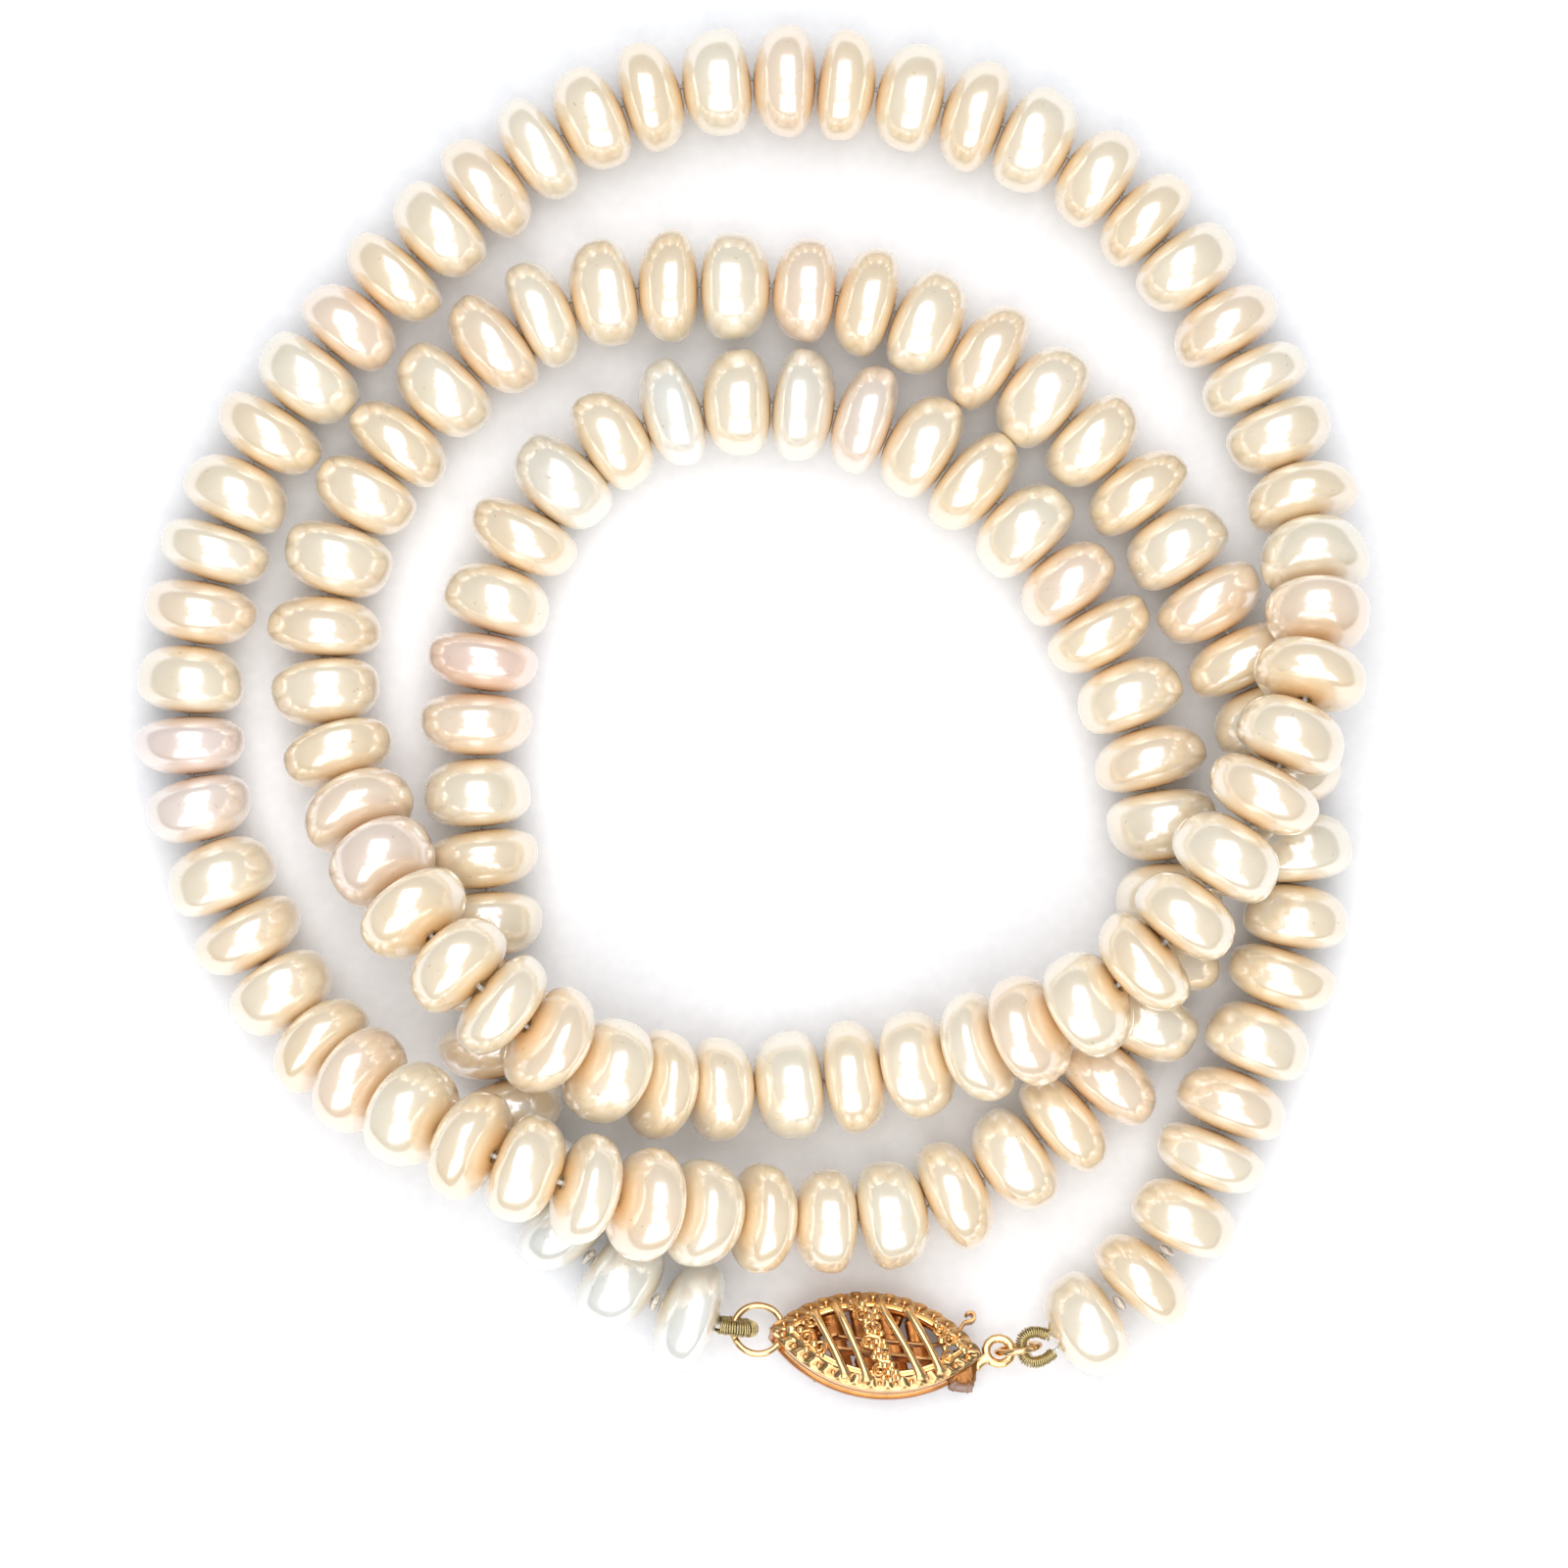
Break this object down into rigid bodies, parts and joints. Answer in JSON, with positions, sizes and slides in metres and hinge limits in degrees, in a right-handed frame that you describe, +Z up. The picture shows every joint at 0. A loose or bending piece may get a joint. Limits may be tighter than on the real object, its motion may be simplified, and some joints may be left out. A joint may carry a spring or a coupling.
{
  "type": "pearl necklace",
  "caption": "Strand of button pearls laid in a loose coil, closed by a gold filigree fish-hook clasp with jump rings and French wire ends.",
  "frame": {"origin": "under the middle of the coiled strand's box, on the surface it lies on", "axes": "+Z up from the surface, +Y away from the clasp, +X towards the clasp's tongue"},
  "size_m": [0.0742, 0.0832, 0.0137],
  "materials": {
    "pearl": "cream freshwater nacre, high lustre",
    "thread": "knotted white silk",
    "french_wire": "gilt coiled wire, dulled",
    "clasp_metal": "polished gold plate"
  },
  "bodies": {
    "coil": {"coil_pearls_01": "pearl", "coil_pearls_02": "pearl", "coil_pearls_03": "pearl", "coil_pearls_04": "pearl", "coil_pearls_05": "pearl", "coil_pearls_06": "pearl", "coil_pearls_07": "pearl", "coil_pearls_08": "pearl", "coil_pearls_09": "pearl", "coil_pearls_10": "pearl", "coil_pearls_11": "pearl", "coil_pearls_12": "pearl", "coil_pearls_13": "pearl", "coil_pearls_14": "pearl", "coil_pearls_15": "pearl", "coil_pearls_16": "pearl", "coil_thread": "thread", "start_knots": "thread", "start_thread_loop": "thread", "start_french_wire": "french_wire", "housing_top": "clasp_metal", "housing_bottom": "clasp_metal", "housing_side_band": "clasp_metal", "ring_post": "clasp_metal", "catch_post": "clasp_metal"},
    "housing_ring": {"housing_jump_ring": "clasp_metal"},
    "tongue": {"tongue_strip": "clasp_metal", "tongue_guard": "clasp_metal", "tongue_eye": "clasp_metal"},
    "leaf": {"spring_leaf": "clasp_metal"},
    "tongue_ring": {"tongue_jump_ring": "clasp_metal"},
    "tail_1": {"tail_pearl_1": "pearl", "tail_thread_1": "thread"},
    "tail_2": {"tail_pearl_2": "pearl", "tail_thread_2": "thread"},
    "tail_3": {"tail_pearl_3": "pearl", "tail_thread_3": "thread"},
    "tail_4": {"tail_pearl_4": "pearl", "tail_thread_4": "thread"},
    "tail_5": {"tail_pearl_5": "pearl", "tail_thread_5": "thread"},
    "tail_6": {"tail_pearl_6": "pearl", "tail_thread_6": "thread"},
    "tail_7": {"tail_pearl_7": "pearl", "tail_thread_7": "thread"},
    "tail_8": {"tail_pearl_8": "pearl", "tail_thread_8": "thread", "tail_knot_1": "thread"},
    "tail_9": {"tail_pearl_9": "pearl", "tail_knot_2": "thread", "tail_thread_loop": "thread", "tail_french_wire": "french_wire"}
  },
  "joints": [
    {"name": "clasp_slide", "type": "slide", "parent": "coil", "child": "tongue", "axis": [0.9925, -0.1219, 0], "range_m": [0, 0.0086]},
    {"name": "tab_press", "type": "hinge", "parent": "tongue", "child": "leaf", "pos_m": [0.00529, -0.03768, 0.00243], "axis": [0.0417, 0.3395, 0.9397], "range_deg": [-3, 0], "stiffness_Nm_per_rad": 0.0005},
    {"name": "housing_ring_turn", "type": "hinge", "parent": "coil", "child": "housing_ring", "pos_m": [0.00051, -0.03718, 0.00292], "axis": [0.0417, 0.3395, 0.9397], "continuous": true},
    {"name": "tongue_ring_turn", "type": "hinge", "parent": "tongue", "child": "tongue_ring", "pos_m": [0.01622, -0.03835, 0.00287], "axis": [0.1736, -0.9848, 0], "continuous": true},
    {"name": "strand_bend_1", "type": "hinge", "parent": "coil", "child": "tail_1", "pos_m": [0.03286, -0.00591, 0.00343], "axis": [0, 0, 1], "range_deg": [0, 9.1]},
    {"name": "strand_bend_2", "type": "hinge", "parent": "tail_1", "child": "tail_2", "pos_m": [0.03323, -0.01025, 0.00343], "axis": [0, 0, 1], "range_deg": [0, 8]},
    {"name": "strand_bend_3", "type": "hinge", "parent": "tail_2", "child": "tail_3", "pos_m": [0.03261, -0.01422, 0.00343], "axis": [0, 0, 1], "range_deg": [0, 6.9]},
    {"name": "strand_bend_4", "type": "hinge", "parent": "tail_3", "child": "tail_4", "pos_m": [0.03144, -0.01771, 0.00343], "axis": [0, 0, 1], "range_deg": [0, 5.6]},
    {"name": "strand_bend_5", "type": "hinge", "parent": "tail_4", "child": "tail_5", "pos_m": [0.02987, -0.02165, 0.00343], "axis": [0, 0, 1], "range_deg": [-5.5, 0]},
    {"name": "strand_bend_6", "type": "hinge", "parent": "tail_5", "child": "tail_6", "pos_m": [0.0284, -0.02525, 0.00343], "axis": [0, 0, 1], "range_deg": [-6.8, 0]},
    {"name": "strand_bend_7", "type": "hinge", "parent": "tail_6", "child": "tail_7", "pos_m": [0.02704, -0.02853, 0.00343], "axis": [0, 0, 1], "range_deg": [-7.4, 0]},
    {"name": "strand_bend_8", "type": "hinge", "parent": "tail_7", "child": "tail_8", "pos_m": [0.02511, -0.03243, 0.00343], "axis": [0, 0, 1], "range_deg": [-7.9, 0]},
    {"name": "strand_bend_9", "type": "hinge", "parent": "tail_8", "child": "tail_9", "pos_m": [0.02237, -0.03568, 0.00343], "axis": [0, 0, 1], "range_deg": [-7.7, 0]}
  ],
  "couplings": [
    {"joint": "strand_bend_1", "follows": "clasp_slide", "rad_per_m": 17.886},
    {"joint": "strand_bend_2", "follows": "clasp_slide", "rad_per_m": 15.813},
    {"joint": "strand_bend_3", "follows": "clasp_slide", "rad_per_m": 13.57},
    {"joint": "strand_bend_4", "follows": "clasp_slide", "rad_per_m": 10.828},
    {"joint": "strand_bend_5", "follows": "clasp_slide", "rad_per_m": -10.617},
    {"joint": "strand_bend_6", "follows": "clasp_slide", "rad_per_m": -13.213},
    {"joint": "strand_bend_7", "follows": "clasp_slide", "rad_per_m": -14.548},
    {"joint": "strand_bend_8", "follows": "clasp_slide", "rad_per_m": -15.477},
    {"joint": "strand_bend_9", "follows": "clasp_slide", "rad_per_m": -15.204}
  ]
}
